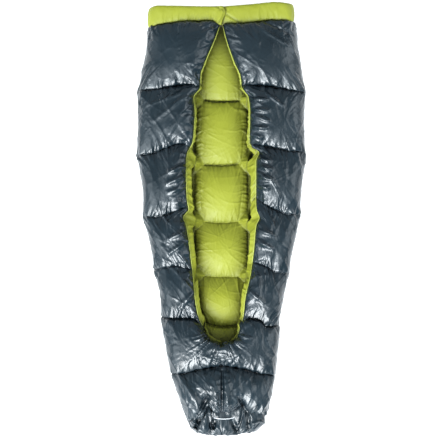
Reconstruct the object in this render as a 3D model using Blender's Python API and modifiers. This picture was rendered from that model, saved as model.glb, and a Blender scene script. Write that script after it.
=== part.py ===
"""A down backpacking quilt, laid on its back with both wings folded over the front.

The quilt is one filled body: a back panel on the floor, a soft fold at each side, and two wings that
lie over the back and leave a keyhole opening between them. Below the opening the wings are sewn
together into a footbox, which a domed foot panel closes. Channels sewn across the body divide the
fill into seven chambers. A green lining covers the inside, a green collar is sewn to the head end,
and a binding runs round the edge of the opening.

X is across, +Y points to the head end, Z is up from the floor. All sizes are in metres.
"""

import math

import bmesh
import bpy
from mathutils import Vector
from mathutils.bvhtree import BVHTree

# ---- Thicknesses and heights -------------------------------------------------------------------
LOFT = 0.055  # a chamber's thickness in its middle, near the head
FOOT_LOFT = 0.050  # the same at the foot
CHANNEL_THICK = 0.014  # the body's thickness on a sewn channel
EDGE_THICK = 0.024  # a wing's thickness at its free edge, in the middle of a chamber
WING_MID = 0.110  # height of the wings' middle surface above the floor
FOOT_RISE = 0.004  # how much higher the wings' middle surface is at the foot
FOOT_FROM_Y = -0.30  # the loft changes to the foot's from here
FOOT_OVER = 0.55  # and over this length
CHANNEL_DROP = 0.012  # how far the wings sink at a channel
CHANNEL_LIFT = 0.004  # how far a channel lifts off the floor under the back
EDGE_DROP = 0.008  # how far a wing sinks at its free edge
EDGE_ROLL = 0.070  # the width over which a wing thins to its free edge
FOLD_REACH = 0.060  # how far the round side fold reaches inwards from the outline
FOLD_INNER_SHARE = 0.8  # the share of the loft by which the fold's inner side is set in
CROWN_POWER = 0.6  # a low power gives a full chamber with steep sides
FLAT_FROM = 0.65  # crown from which the back lies flat on the floor
PIECE_GAP = 0.0005  # between one sewn piece and the next

# ---- The sewn channels, foot to head -----------------------------------------------------------
# (y on the back's middle, y at the side folds, y at the wings' edges, half width); pairs are
# left then right. The first is the foot seam and the last is the collar seam.
CHANNELS = (
    (-0.872, (-0.868, -0.864), (-0.872, -0.872), (0.178, 0.205)),
    (-0.700, (-0.700, -0.714), (-0.652, -0.652), (0.224, 0.238)),
    (-0.489, (-0.440, -0.468), (-0.465, -0.465), (0.266, 0.258)),
    (-0.261, (-0.237, -0.258), (-0.228, -0.204), (0.298, 0.303)),
    (-0.016, (0.024, 0.024), (0.012, 0.020), (0.354, 0.355)),
    (0.245, (0.267, 0.280), (0.318, 0.318), (0.381, 0.381)),
    (0.533, (0.573, 0.556), (0.588, 0.586), (0.375, 0.379)),
    (0.878, (0.855, 0.874), (0.874, 0.874), (0.329, 0.334)),
)
# How far each chamber's sides are drawn in between its channels; below 0 they bulge.
DRAWN_IN = (0.000, -0.005, 0.009, -0.006, 0.012, 0.012, 0.010)
EVEN_ROWS = (0.0, 0.17, 0.5, 0.83)
CROTCH_CHAMBER = 1
CROTCH_ROWS = (0.0, 0.17, 0.33, 0.5, 0.6, 0.73, 0.87)
CROTCH_SHARE = 0.5  # the row of that chamber where the opening starts

# ---- The opening between the wings -------------------------------------------------------------
# (y, left half width, right half width); it flares where a channel meets a wing's edge.
OPENING = (
    (-0.5585, 0.000, 0.000),
    (-0.540, 0.045, 0.048),
    (-0.516, 0.067, 0.071),
    (-0.480, 0.083, 0.086),
    (-0.358, 0.117, 0.106),
    (-0.240, 0.127, 0.130),
    (-0.030, 0.160, 0.153),
    (0.015, 0.171, 0.171),
    (0.060, 0.156, 0.156),
    (0.258, 0.158, 0.153),
    (0.300, 0.150, 0.165),
    (0.335, 0.128, 0.135),
    (0.545, 0.124, 0.123),
    (0.587, 0.095, 0.090),
    (0.704, 0.071, 0.066),
    (0.874, 0.004, 0.004),
)
# (y, how far the lining rolls out of the wing's edge towards the middle)
LINING_ROLL = (
    (-0.5585, 0.000),
    (-0.450, 0.010),
    (-0.240, 0.020),
    (0.015, 0.026),
    (0.270, 0.022),
    (0.350, 0.010),
    (0.874, 0.003),
)

# ---- Places across the body, from the back's middle to a wing's edge ---------------------------
BACK_SHARES = (0.35, 0.7)
FOLD_ANGLES = (-90, -45, 0, 45, 90)
WING_SHARES = (0.25, 0.5, 0.72, 0.88, 1.0)

# ---- The sewn-on pieces ------------------------------------------------------------------------
LINING_THICK = 0.002
LINING_ON_RIM = 0.8  # share of the wing's edge that the lining covers, from below
BINDING_RADIUS = 0.003
BINDING_CLEAR = 0.003  # between the binding and the corner of the wing's edge
BINDING_INWARD = 0.55  # how far it stands off towards the middle, against 1 upwards
COLLAR_THICK = 0.022
COLLAR_FULL_BY = 0.5  # share of the way up at which the collar is full
COLLAR_EDGE_THIN = 0.12  # least share of that, squared, at its head edge
COLLAR_EDGE_POWER = 6
COLLAR_ROWS = (0.0, 0.25, 0.6, 0.88, 1.0)
COLLAR_FRONT_SAG = 0.016  # how far the front of the collar sinks at its head end
COLLAR_SAG_POWER = 1.5
COLLAR_SAG_FROM = 0.05  # height from which the sag sets in, and the height over which it does
COLLAR_SAG_OVER = 0.04
COLLAR_NARROWS = (0.000, 0.012)  # how far the collar draws in at its head end, left and right
COLLAR_HALF_WIDTH = 0.33
COLLAR_LAP = (0.020, 0.016)  # how far each end passes the middle, left and right
COLLAR_LAP_LIFT = (0.012, -0.012)  # the left end lies on the right one
COLLAR_LAP_FROM = 0.25  # share of the way up by which the ends lap in full
# For the places next to each end, the end itself first: the share of the lift, of the lap and
# of the thickness.
COLLAR_END_LIFTS = (1, 0.6, 0.15)
COLLAR_END_LAPS = (1, 0.4, 0)
COLLAR_END_THICKS = (0.6, 0.85, 1)
# (share across from the left fold to the right one, y of the collar's head edge)
COLLAR_TOP = ((-1.0, 0.944), (-0.7, 0.956), (0.0, 0.958), (0.7, 0.972), (1.0, 0.967))
FOOT_REACH = 0.101  # how far the foot panel domes out from the foot seam
FOOT_SQUARE = 2.6  # a round dome has 2; more is squarer
FOOT_ANGLES = (18, 38, 60, 78)
FOOT_WALL = 0.048
PIPING_RADIUS = 0.0028
PIPING_AT = (0.010, -0.893)
PIPING_LONG = 0.090
PIPING_SAG = 0.006
PIPING_STEPS = 10
PIPING_CLEAR = 0.001  # between the piping and the foot panel


def between(table, at, column=1):
    """The table's value at a place, in straight steps between its rows."""
    if at <= table[0][0]:
        return table[0][column]
    for low, high in zip(table, table[1:]):
        if at <= high[0]:
            share = (at - low[0]) / (high[0] - low[0])
            return low[column] + share * (high[column] - low[column])
    return table[-1][column]


def smooth(share):
    """0 to 1 with level ends."""
    share = min(1.0, max(0.0, share))
    return share * share * (3 - 2 * share)


def crown(share):
    """How full a chamber is: 0 on a channel, 1 halfway to the next."""
    return (4 * share * (1 - share)) ** CROWN_POWER


def rows():
    """(chamber, share of the way through it) of each row across the body, foot to head."""
    found = []
    for chamber in range(len(CHANNELS) - 1):
        shares = CROTCH_ROWS if chamber == CROTCH_CHAMBER else EVEN_ROWS
        found += [(chamber, share) for share in shares]
    return found + [(len(CHANNELS) - 2, 1.0)]


def channel_y(channel, side, zone, share):
    """Where a channel lies along the quilt. side is 0 for left, 1 for right."""
    back, sides, edges, _ = CHANNELS[channel]
    if zone == "back":
        return back + (sides[side] - back) * smooth(share)
    if zone == "fold":
        return sides[side]
    return sides[side] + (edges[side] - sides[side]) * smooth(share)


def row_y(row, side, zone, share):
    chamber, along = row
    low = channel_y(chamber, side, zone, share)
    high = channel_y(chamber + 1, side, zone, share)
    return low + along * (high - low)


def half_width(row, side):
    chamber, along = row
    low, high = CHANNELS[chamber][3][side], CHANNELS[chamber + 1][3][side]
    return low + along * (high - low) - DRAWN_IN[chamber] * crown(along)


class Section:
    """The body's heights at one row and place along the quilt."""

    def __init__(self, row, y):
        full = crown(row[1])
        foot = smooth((FOOT_FROM_Y - y) / FOOT_OVER)
        loft = LOFT + (FOOT_LOFT - LOFT) * foot
        self.thick = CHANNEL_THICK + (loft - CHANNEL_THICK) * full
        self.edge_thick = CHANNEL_THICK + (EDGE_THICK - CHANNEL_THICK) * full
        self.floor = CHANNEL_LIFT * max(0.0, 1 - full / FLAT_FROM)
        self.wing_mid = WING_MID + FOOT_RISE * foot - CHANNEL_DROP * (1 - full)

    def wing(self, from_edge):
        """(underside, top) of the wing, at a distance from its free edge."""
        share = min(1.0, max(0.0, from_edge) / EDGE_ROLL)
        thick = self.edge_thick + (self.thick - self.edge_thick) * math.sqrt(share)
        middle = self.wing_mid - EDGE_DROP * (1 - smooth(share))
        return middle - thick / 2, middle + thick / 2


def half_section(row, side):
    """(outer, inner) points from the back's middle, round the side fold, to the wing's edge."""
    sign = (-1, 1)[side]
    width = half_width(row, side)
    turn = width - FOLD_REACH
    points = []
    for share in (0.0,) + BACK_SHARES:
        y = row_y(row, side, "back", share)
        at = Section(row, y)
        x = sign * turn * share
        points.append((Vector((x, y, at.floor)), Vector((x, y, at.floor + at.thick))))
    for angle in FOLD_ANGLES:
        y = row_y(row, side, "fold", 0)
        at = Section(row, y)
        under, top = at.wing(EDGE_ROLL)
        out, up = math.cos(math.radians(angle)), math.sin(math.radians(angle))
        pair = []
        for low, high, reach in (
            (at.floor, top, FOLD_REACH),
            (at.floor + at.thick, under, FOLD_REACH - at.thick * FOLD_INNER_SHARE),
        ):
            z = (low + high) / 2 + up * (high - low) / 2
            pair.append(Vector((sign * (turn + out * reach), y, z)))
        points.append(tuple(pair))
    edge_y = row_y(row, side, "wing", 1)
    edge, roll = between(OPENING, edge_y, 1 + side), between(LINING_ROLL, edge_y)
    for share in WING_SHARES:
        y = row_y(row, side, "wing", share)
        out_x = turn + (edge - turn) * share
        in_x = turn + (edge - roll - turn) * share
        under, top = Section(row, y).wing(out_x - edge)
        points.append((Vector((sign * out_x, y, top)), Vector((sign * in_x, y, under))))
    return points


def full_section(row):
    """(outer, inner) points from the left wing's edge, under the back, to the right wing's edge."""
    left, right = half_section(row, 0), half_section(row, 1)
    return left[:0:-1] + right


def material(name, colour, roughness):
    made = bpy.data.materials.new(name)
    made.use_nodes = True
    shader = made.node_tree.nodes["Principled BSDF"]
    shader.inputs["Base Color"].default_value = (*colour, 1.0)
    shader.inputs["Roughness"].default_value = roughness
    shader.inputs["Metallic"].default_value = 0.0
    return made


def add_object(name, data, finish):
    data.materials.append(finish)
    made = bpy.data.objects.new(name, data)
    collection.objects.link(made)
    return made


def mesh_from(name, bm):
    """The bmesh as a mesh with its faces pointing out, shaded smooth."""
    bmesh.ops.recalc_face_normals(bm, faces=bm.faces)
    bmesh.ops.triangulate(bm, faces=bm.faces)
    mesh = bpy.data.meshes.new(name)
    bm.to_mesh(mesh)
    bm.free()
    mesh.shade_smooth()
    return mesh


def quads(bm, low, high, tag=None, mark=0):
    """A strip of faces between two rows of vertices."""
    for i in range(len(low) - 1):
        corners = [low[i], low[i + 1], high[i + 1], high[i]]
        face = bm.faces.new(dict.fromkeys(corners))
        if tag is not None:
            face[tag] = mark


def body_bmesh(sections, closed_rows):
    """The filled body, with its inner faces and the lined part of the wings' edges tagged 1."""
    bm = bmesh.new()
    lined = bm.faces.layers.int.new("lined")
    outer, inner, rims = [], [], []
    for number, section in enumerate(sections):
        closed = number < closed_rows
        rings = []
        for k in (0, 1):
            ring = [bm.verts.new(pair[k]) for pair in section[: -1 if closed else None]]
            rings.append(ring + ring[:1] if closed else ring)
        outer.append(rings[0])
        inner.append(rings[1])
        if number >= closed_rows - 1:
            rim = []
            for end in (0, -1):
                place = section[end][1].lerp(section[end][0], LINING_ON_RIM)
                shared = closed and rim
                rim.append(rim[0] if shared else bm.verts.new(place))
            rims.append(rim)
    for low in range(len(sections) - 1):
        quads(bm, outer[low], outer[low + 1], lined, 0)
        quads(bm, inner[low], inner[low + 1], lined, 1)
    first = closed_rows - 1
    for step in range(len(rims) - 1):
        for side, end in ((0, 0), (1, -1)):
            corners = [
                (inner[first + step + k][end], rims[step + k][side], outer[first + step + k][end])
                for k in (0, 1)
            ]
            quads(bm, corners[0][:2], corners[1][:2], lined, 1)
            quads(bm, corners[0][1:], corners[1][1:], lined, 0)
    quads(bm, outer[0], inner[0], lined, 0)
    head_outer, head_inner = outer[-1], inner[-1]
    quads(bm, head_outer[1:-1], head_inner[1:-1], lined, 0)
    for side, (end, beside) in enumerate(((0, 1), (-1, -2))):
        corners = [head_inner[end], rims[-1][side], head_outer[end]]
        bm.faces.new(corners + [head_outer[beside], head_inner[beside]])
    return bm


def lining_mesh(body):
    """The body's lined faces, a gap away from it, as an open surface."""
    bm = bmesh.new()
    bm.from_mesh(body)
    lined = bm.faces.layers.int["lined"]
    bare = [face for face in bm.faces if not face[lined]]
    bmesh.ops.delete(bm, geom=bare, context="FACES")
    bm.normal_update()
    moves = [(vertex, vertex.normal * PIECE_GAP) for vertex in bm.verts]
    for vertex, move in moves:
        vertex.co += move
    mesh = bpy.data.meshes.new("lining")
    bm.to_mesh(mesh)
    bm.free()
    mesh.shade_smooth()
    return mesh


def add_lining(body):
    lining = add_object("lining", lining_mesh(body.data), lining_finish)
    thicken = lining.modifiers.new("cloth", "SOLIDIFY")
    thicken.thickness = LINING_THICK
    thicken.offset = 1
    thicken.use_even_offset = True
    return lining


def collar_sections(base):
    """The collar's rows, from the body's head end to the collar's head edge."""
    outline = len(base) - 1
    left_fold, right_fold = (len(WING_SHARES) + 2, outline - len(WING_SHARES) - 2)
    found = []
    for along in COLLAR_ROWS:
        row = []
        swell = math.sin(math.pi * min(along, COLLAR_FULL_BY))
        thick = CHANNEL_THICK + (COLLAR_THICK - CHANNEL_THICK) * swell
        thick *= math.sqrt(max(COLLAR_EDGE_THIN, 1 - along**COLLAR_EDGE_POWER))
        for number, (out, inn) in enumerate(base):
            side = 0 if number <= outline / 2 else 1
            from_end = min(number, outline - number)
            across = -1 + 2 * (out.x - base[left_fold][0].x) / (
                base[right_fold][0].x - base[left_fold][0].x
            )
            top_y = between(COLLAR_TOP, across)
            middle, half = (out + inn) / 2, (out - inn) / 2
            middle.y += PIECE_GAP + along * (top_y - middle.y - PIECE_GAP)
            middle.x *= 1 - along * COLLAR_NARROWS[side] / COLLAR_HALF_WIDTH
            if middle.z > WING_MID / 2:
                sag = smooth((middle.z - COLLAR_SAG_FROM) / COLLAR_SAG_OVER)
                middle.z -= COLLAR_FRONT_SAG * along**COLLAR_SAG_POWER * sag
            half *= thick / CHANNEL_THICK
            if middle.z < COLLAR_THICK:
                middle.z = abs(half.z)
            if from_end < len(COLLAR_END_LIFTS):
                near = smooth(along / COLLAR_LAP_FROM)
                middle.z += near * COLLAR_END_LIFTS[from_end] * COLLAR_LAP_LIFT[side]
                lap = (-1, 1)[side] * COLLAR_LAP[side]
                middle.x -= near * COLLAR_END_LAPS[from_end] * lap
                half *= COLLAR_END_THICKS[from_end]
            row.append((middle + half, middle - half))
        found.append(row)
    return found


def closed_strip(sections, name):
    """A solid between the outer and inner points of sections that run from end to end."""
    bm = bmesh.new()
    rings = [[[bm.verts.new(pair[k]) for pair in section] for k in (0, 1)] for section in sections]
    for low, high in zip(rings, rings[1:]):
        for k in (0, 1):
            quads(bm, low[k], high[k])
        for end in (0, -1):
            quads(bm, (low[0][end], low[1][end]), (high[0][end], high[1][end]))
    for ring in (rings[0], rings[-1]):
        quads(bm, *ring)
    return mesh_from(name, bm)


def foot_mesh(base):
    """A dome with a wall, closing the body's foot end. base is the body's first section."""
    bm = bmesh.new()
    ring_points = base[:-1]
    centre = sum((out for out, _ in ring_points), Vector()) / len(ring_points)
    sides = []
    for k, reach in ((0, FOOT_REACH), (1, FOOT_REACH - FOOT_WALL)):
        rings = []
        for angle in (0,) + FOOT_ANGLES:
            radians = math.radians(angle)
            shrink = math.cos(radians) ** (2 / FOOT_SQUARE)
            out = reach * math.sin(radians) ** (2 / FOOT_SQUARE)
            ring = []
            for pair in ring_points:
                place = centre + (pair[k] - centre) * shrink
                place.y = pair[k].y * shrink + centre.y * (1 - shrink) - out - PIECE_GAP
                ring.append(bm.verts.new(place))
            rings.append(ring + ring[:1])
        tip = bm.verts.new((centre.x, centre.y - reach - PIECE_GAP, centre.z))
        for low, high in zip(rings, rings[1:]):
            quads(bm, low, high)
        quads(bm, rings[-1], [tip] * len(rings[-1]))
        sides.append(rings)
    quads(bm, sides[0][0], sides[1][0])
    return mesh_from("foot_panel", bm)


def tube(name, points, radius, finish):
    data = bpy.data.curves.new(name, "CURVE")
    data.dimensions = "3D"
    data.bevel_depth = radius
    data.bevel_resolution = 1
    data.use_fill_caps = True
    line = data.splines.new("POLY")
    line.points.add(len(points) - 1)
    for place, point in zip(line.points, points):
        place.co = (*point, 1)
    return add_object(name, data, finish)


def binding_points(sections, first):
    """Just off the outer corner of the wings' edges, down the left one and up the right one."""
    sides = []
    for end, inward in ((0, 1), (-1, -1)):
        line = []
        for section in sections[first:]:
            edge = section[end][0]
            rise = Vector((inward * BINDING_INWARD, 0, 1)).normalized()
            line.append(edge + rise * (BINDING_RADIUS + BINDING_CLEAR))
        sides.append(line)
    crotch = sides[0][0].lerp(sides[1][0], 0.5)
    return sides[0][:0:-1] + [crotch] + sides[1][1:]


def piping_points(foot):
    """Along the top of the foot panel, just under the foot seam."""
    surface = BVHTree.FromObject(foot, bpy.context.evaluated_depsgraph_get())
    points = []
    for step in range(PIPING_STEPS + 1):
        along = 2 * step / PIPING_STEPS - 1
        x = PIPING_AT[0] + along * PIPING_LONG / 2
        y = PIPING_AT[1] + PIPING_SAG * along * along
        top = surface.ray_cast(Vector((x, y, 1)), Vector((0, 0, -1)))[0]
        points.append(top + Vector((0, 0, PIPING_RADIUS + PIPING_CLEAR)))
    return points


def stand_on_floor(parts):
    """Moves the parts so that the middle of their box's floor is the origin."""
    bpy.context.view_layer.update()
    graph = bpy.context.evaluated_depsgraph_get()
    corners = []
    for part in parts:
        corners += [vertex.co.copy() for vertex in part.evaluated_get(graph).to_mesh().vertices]
    low = Vector([min(corner[k] for corner in corners) for k in range(3)])
    high = Vector([max(corner[k] for corner in corners) for k in range(3)])
    for part in parts:
        part.location = (-(low.x + high.x) / 2, -(low.y + high.y) / 2, -low.z)


for leftover in list(bpy.data.objects):
    bpy.data.objects.remove(leftover)
collection = bpy.data.collections.new("backpacking_quilt")
bpy.context.scene.collection.children.link(collection)

shell_finish = material("shell_nylon", (0.030, 0.042, 0.050), 0.32)
lining_finish = material("lining_nylon", (0.40, 0.48, 0.06), 0.38)
trim_finish = material("pale_piping", (0.55, 0.56, 0.58), 0.6)

ROWS = rows()
SECTIONS = [full_section(row) for row in ROWS]
CLOSED = ROWS.index((CROTCH_CHAMBER, CROTCH_SHARE)) + 1

body = add_object("quilt_body", mesh_from("quilt_body", body_bmesh(SECTIONS, CLOSED)), shell_finish)
lining = add_lining(body)
collar = add_object("collar", closed_strip(collar_sections(SECTIONS[-1]), "collar"), lining_finish)
foot = add_object("foot_panel", foot_mesh(SECTIONS[0]), shell_finish)
binding = tube("edge_binding", binding_points(SECTIONS, CLOSED - 1), BINDING_RADIUS, lining_finish)
piping = tube("foot_piping", piping_points(foot), PIPING_RADIUS, trim_finish)
stand_on_floor([body, lining, collar, foot, binding, piping])
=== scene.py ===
import math

import bpy
import numpy as np
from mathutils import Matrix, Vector, noise
from mathutils.bvhtree import BVHTree


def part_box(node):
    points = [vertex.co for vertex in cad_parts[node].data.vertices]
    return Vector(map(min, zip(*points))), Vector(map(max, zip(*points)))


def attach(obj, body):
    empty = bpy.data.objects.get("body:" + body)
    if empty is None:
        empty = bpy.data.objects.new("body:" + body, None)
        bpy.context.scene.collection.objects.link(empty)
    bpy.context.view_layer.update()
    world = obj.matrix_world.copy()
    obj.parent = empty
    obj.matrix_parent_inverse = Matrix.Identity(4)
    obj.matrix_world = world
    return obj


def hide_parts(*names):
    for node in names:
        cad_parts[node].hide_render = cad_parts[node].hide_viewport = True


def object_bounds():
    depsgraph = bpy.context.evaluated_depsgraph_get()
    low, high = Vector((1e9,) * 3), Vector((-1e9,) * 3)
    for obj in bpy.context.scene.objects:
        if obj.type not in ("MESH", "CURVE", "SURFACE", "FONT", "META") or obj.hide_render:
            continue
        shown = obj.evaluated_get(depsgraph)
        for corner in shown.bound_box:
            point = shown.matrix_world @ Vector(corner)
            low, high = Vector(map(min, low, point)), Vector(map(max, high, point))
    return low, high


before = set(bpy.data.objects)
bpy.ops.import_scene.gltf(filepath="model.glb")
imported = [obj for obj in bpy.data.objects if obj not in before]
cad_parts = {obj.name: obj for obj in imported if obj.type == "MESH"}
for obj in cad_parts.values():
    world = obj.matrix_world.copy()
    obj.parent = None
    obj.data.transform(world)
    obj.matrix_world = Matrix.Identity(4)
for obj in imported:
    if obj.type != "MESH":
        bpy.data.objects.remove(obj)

# Looks of the backpacking quilt. It lies on its back with both wings folded over the front. Its
# dark shell and its green lining are grids of cloth, sewn down along the channels, and a cloth
# simulation puffs each chamber up and gathers the cloth along its seams. Metres, +Y to the head.

CAD_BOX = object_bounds()
FOOT_TIP_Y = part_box("foot_panel")[0].y
COLLAR_TOP_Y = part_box("collar")[1].y

# ---- The channels, foot to head ----------------------------------------------------------------
# back: y on the back's middle. sides: y at the side folds, left then right. wings: for the left
# then the right wing, (share of the way from the fold to the free edge, y). half: half widths.
CHANNELS = (
    dict(back=-0.900, sides=(-0.945, -0.905), half=(0.143, 0.196),
         wings=(((0, -0.885), (0.36, -0.830), (0.6, -0.852), (0.8, -0.862), (1, -0.864)),
                ((0, -0.868), (0.34, -0.828), (0.63, -0.860), (0.8, -0.862), (1, -0.864)))),
    dict(back=-0.700, sides=(-0.700, -0.716), half=(0.224, 0.238),
         wings=(((0, -0.690), (0.25, -0.678), (0.63, -0.663), (1, -0.652)),
                ((0, -0.692), (0.61, -0.660), (1, -0.652)))),
    dict(back=-0.489, sides=(-0.428, -0.470), half=(0.266, 0.258),
         wings=(((0, -0.448), (0.3, -0.446), (0.61, -0.443), (1, -0.482)),
                ((0, -0.484), (0.2, -0.458), (0.62, -0.444), (1, -0.460)))),
    dict(back=-0.261, sides=(-0.240, -0.260), half=(0.299, 0.304),
         wings=(((0, -0.216), (0.2, -0.208), (0.87, -0.226), (1, -0.230)),
                ((0, -0.238), (0.68, -0.200), (1, -0.196)))),
    dict(back=-0.016, sides=(0.024, 0.024), half=(0.353, 0.354),
         wings=(((0, 0.010), (0.5, 0.030), (0.9, 0.054), (1, 0.044)),
                ((0, 0.022), (0.59, 0.057), (1, 0.100)))),
    dict(back=0.245, sides=(0.268, 0.292), half=(0.381, 0.381),
         wings=(((0, 0.292), (0.64, 0.335), (0.85, 0.341), (1, 0.322)),
                ((0, 0.305), (0.6, 0.326), (1, 0.340)))),
    dict(back=0.533, sides=(0.575, 0.552), half=(0.376, 0.380),
         wings=(((0, 0.580), (0.73, 0.602), (1, 0.606)),
                ((0, 0.575), (0.5, 0.596), (1, 0.603)))),
    dict(back=0.878, sides=(0.856, 0.874), half=(0.329, 0.334),
         wings=(((0, 0.872), (0.21, 0.881), (0.63, 0.886), (0.86, 0.886), (1, 0.870)),
                ((0, 0.891), (0.23, 0.892), (0.4, 0.884), (0.66, 0.876), (1, 0.872)))),
)
DRAWN_IN = ((-0.006, -0.006), (-0.006, -0.004), (0.006, 0.006), (0.004, 0.004), (0.012, 0.006),
            (0.004, 0.010), (0.006, 0.004))

# ---- The opening between the wings -------------------------------------------------------------
# (y, left half width, right half width)
OPENING = (
    (-0.5585, 0.000, 0.000),
    (-0.556, 0.030, 0.032),
    (-0.543, 0.058, 0.061),
    (-0.520, 0.072, 0.075),
    (-0.480, 0.083, 0.084),
    (-0.452, 0.098, 0.096),
    (-0.358, 0.117, 0.106),
    (-0.240, 0.129, 0.132),
    (-0.120, 0.143, 0.147),
    (-0.030, 0.157, 0.155),
    (0.008, 0.171, 0.170),
    (0.046, 0.146, 0.157),
    (0.090, 0.154, 0.155),
    (0.258, 0.158, 0.155),
    (0.300, 0.152, 0.169),
    (0.325, 0.138, 0.140),
    (0.345, 0.128, 0.125),
    (0.476, 0.118, 0.128),
    (0.546, 0.124, 0.121),
    (0.592, 0.095, 0.092),
    (0.640, 0.093, 0.085),
    (0.704, 0.071, 0.057),
    (0.812, 0.026, 0.020),
    (0.872, 0.006, 0.006),
)
CROTCH_Y = OPENING[0][0]
ROUND_TOP = -0.480
ROUND_END = (-0.600, -0.440)  # from y to y, where the rows bend round the end of the opening
RAYS_FROM_Y = -0.50
# (y, how far the lining rolls out of a wing's edge towards the middle)
LINING_ROLL = ((-0.5585, 0.002), (-0.45, 0.010), (-0.24, 0.022), (0.015, 0.028), (0.27, 0.028),
               (0.34, 0.010), (0.60, 0.005), (0.874, 0.002))

# (from, to, half width, height) of the folds that show singly on the front, in metres
FRONT_FOLDS = (
    ((-0.110, 0.590), (-0.300, 0.440), 0.010, 0.0060),
    ((-0.130, 0.578), (-0.330, 0.510), 0.008, 0.0040),
    ((-0.140, 0.540), (-0.250, 0.350), 0.011, 0.0050),
    ((0.150, 0.536), (0.200, 0.534), 0.009, 0.0120),
    ((0.152, 0.488), (0.205, 0.484), 0.009, 0.0120),
    ((0.155, 0.456), (0.208, 0.438), 0.008, 0.0110),
    ((0.150, 0.410), (0.198, 0.406), 0.009, 0.0120),
    ((0.148, 0.374), (0.180, 0.362), 0.008, 0.0090),
    ((0.194, 0.567), (0.272, 0.508), 0.008, 0.0070),
    ((0.172, 0.270), (0.215, 0.262), 0.009, 0.0110),
    ((0.172, 0.232), (0.220, 0.224), 0.010, 0.0110),
    ((0.170, 0.190), (0.222, 0.178), 0.009, 0.0100),
    ((0.168, 0.150), (0.205, 0.138), 0.009, 0.0090),
    ((-0.172, 0.236), (-0.230, 0.214), 0.010, 0.0100),
    ((-0.170, 0.190), (-0.240, 0.160), 0.010, 0.0100),
    ((-0.172, 0.140), (-0.235, 0.120), 0.010, 0.0090),
    ((-0.178, -0.060), (-0.240, -0.090), 0.011, 0.0100),
    ((-0.172, -0.110), (-0.230, -0.150), 0.010, 0.0090),
    ((0.172, -0.050), (0.230, -0.070), 0.010, 0.0100),
    ((0.165, -0.100), (0.225, -0.130), 0.010, 0.0090),
    ((-0.125, -0.330), (-0.190, -0.390), 0.011, 0.0090),
    ((0.125, -0.320), (0.185, -0.370), 0.010, 0.0090),
    ((0.183, 0.888), (0.325, 0.820), 0.007, -0.0060),
    ((0.160, 0.860), (0.300, 0.775), 0.009, 0.0050),
    ((0.004, -0.675), (0.004, -0.850), 0.006, -0.0120),
    ((0.026, -0.690), (0.030, -0.850), 0.013, 0.0110),
    ((-0.026, -0.700), (-0.022, -0.830), 0.014, 0.0050),
    ((-0.175, -0.720), (-0.085, -0.860), 0.020, 0.0110),
    ((-0.058, -0.790), (-0.100, -0.868), 0.010, -0.0190),
    ((0.080, -0.795), (0.108, -0.850), 0.010, -0.0150),
    ((0.150, -0.720), (0.110, -0.830), 0.020, 0.0060),
)
FOOT_FOLDS = (
    ((-0.095, -0.870), (-0.122, -0.955), 0.012, -0.0240),
    ((0.112, -0.850), (0.128, -0.950), 0.011, -0.0200),
    ((-0.030, -0.905), (-0.050, -0.965), 0.012, -0.0160),
    ((0.050, -0.905), (0.075, -0.965), 0.012, -0.0150),
    ((0.010, -0.925), (0.004, -0.970), 0.018, 0.0080),
    ((-0.078, -0.880), (-0.082, -0.965), 0.016, 0.0090),
)

# ---- Thicknesses and heights -------------------------------------------------------------------
SHELL_LOFT = 0.070  # a chamber's thickness before it is puffed up
LINING_LOFT = 0.052
LINING_GAP = 0.006  # how far the wings' lining keeps below the shell where it is out of sight
JOINED_DROP = 0.030  # and where the wings are one panel, below the opening
SEAM_THICK = 0.008
EDGE_THICK = 0.012
WING_MID = 0.104
SEAM_DROP = 0.020  # how far the wings sink at a channel
EDGE_DROP = 0.010  # how far they sink at their free edges
EDGE_SEAM_DROP = 0.006  # and how much further where a channel meets the edge
EDGE_ROLL = 0.048
DOME_DROP, DOME_REACH = 0.020, 0.110  # how far a chamber sinks towards the side fold, and over what width
ROUND_DROP = 0.008  # how far the lining and the binding keep below the shell at the opening's round end
FOLD_REACH = 0.062
BACK_LIFT = 0.008  # how far the channels stand off the ground
CROWNS = (0.85, 0.36, 1.15, 1.10, 0.85, 0.50, 0.40)  # foot to head: the lower, the flatter on top
HIGHEST = CAD_BOX[1][2] + 0.010
PILLOW_HALF = 0.078  # half width of the back's pillows, seen through the opening
VALLEY_X = 0.120
WEB_START, WEB_END = 0.074, 0.118  # where the lining climbs from a channel of the back to the wings
WEB_HEIGHT = 0.042
WEB_RISE = 0.010

# ---- Grid of the cloth -------------------------------------------------------------------------
ROW_STEP = 0.006
JOINT_COLUMNS = 8
SHELL_COLUMNS = (10, 30, 40)  # back, fold, wing on each half
LINING_COLUMNS = (52, 4, 16)
LINING_FINE = 0.50
TUCK_SHARE, LIP_SHARE = 0.66, 0.72  # shares of the wing's lining that reach the lip's underside and its rim

SIM_FRAMES = 20
PUFF_SHARE = 0.5  # how much of the simulated puff the taut lining keeps

# ---- Light: (direction, degrees to the window's even part and to its rim, level) ------------------
WINDOWS = (
    ((0, 0, 1), 150, 180, 0.10),
    ((0, -0.1, 1), 20, 60, 0.32),
    ((-0.22, -0.74, 0.64), 4, 22, 10.5),
    ((-0.25, -0.72, 0.66), 8, 52, 3.0),
    ((-0.72, -0.30, 0.62), 6, 26, 2.6),
    ((0.76, 0.05, 0.62), 6, 26, 2.4),
    ((-0.9, 0.1, 0.35), 10, 40, 0.9),
    ((0.9, 0.1, 0.35), 10, 40, 0.9),
    ((0, 1, 0.4), 10, 40, 0.6),
)


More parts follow.
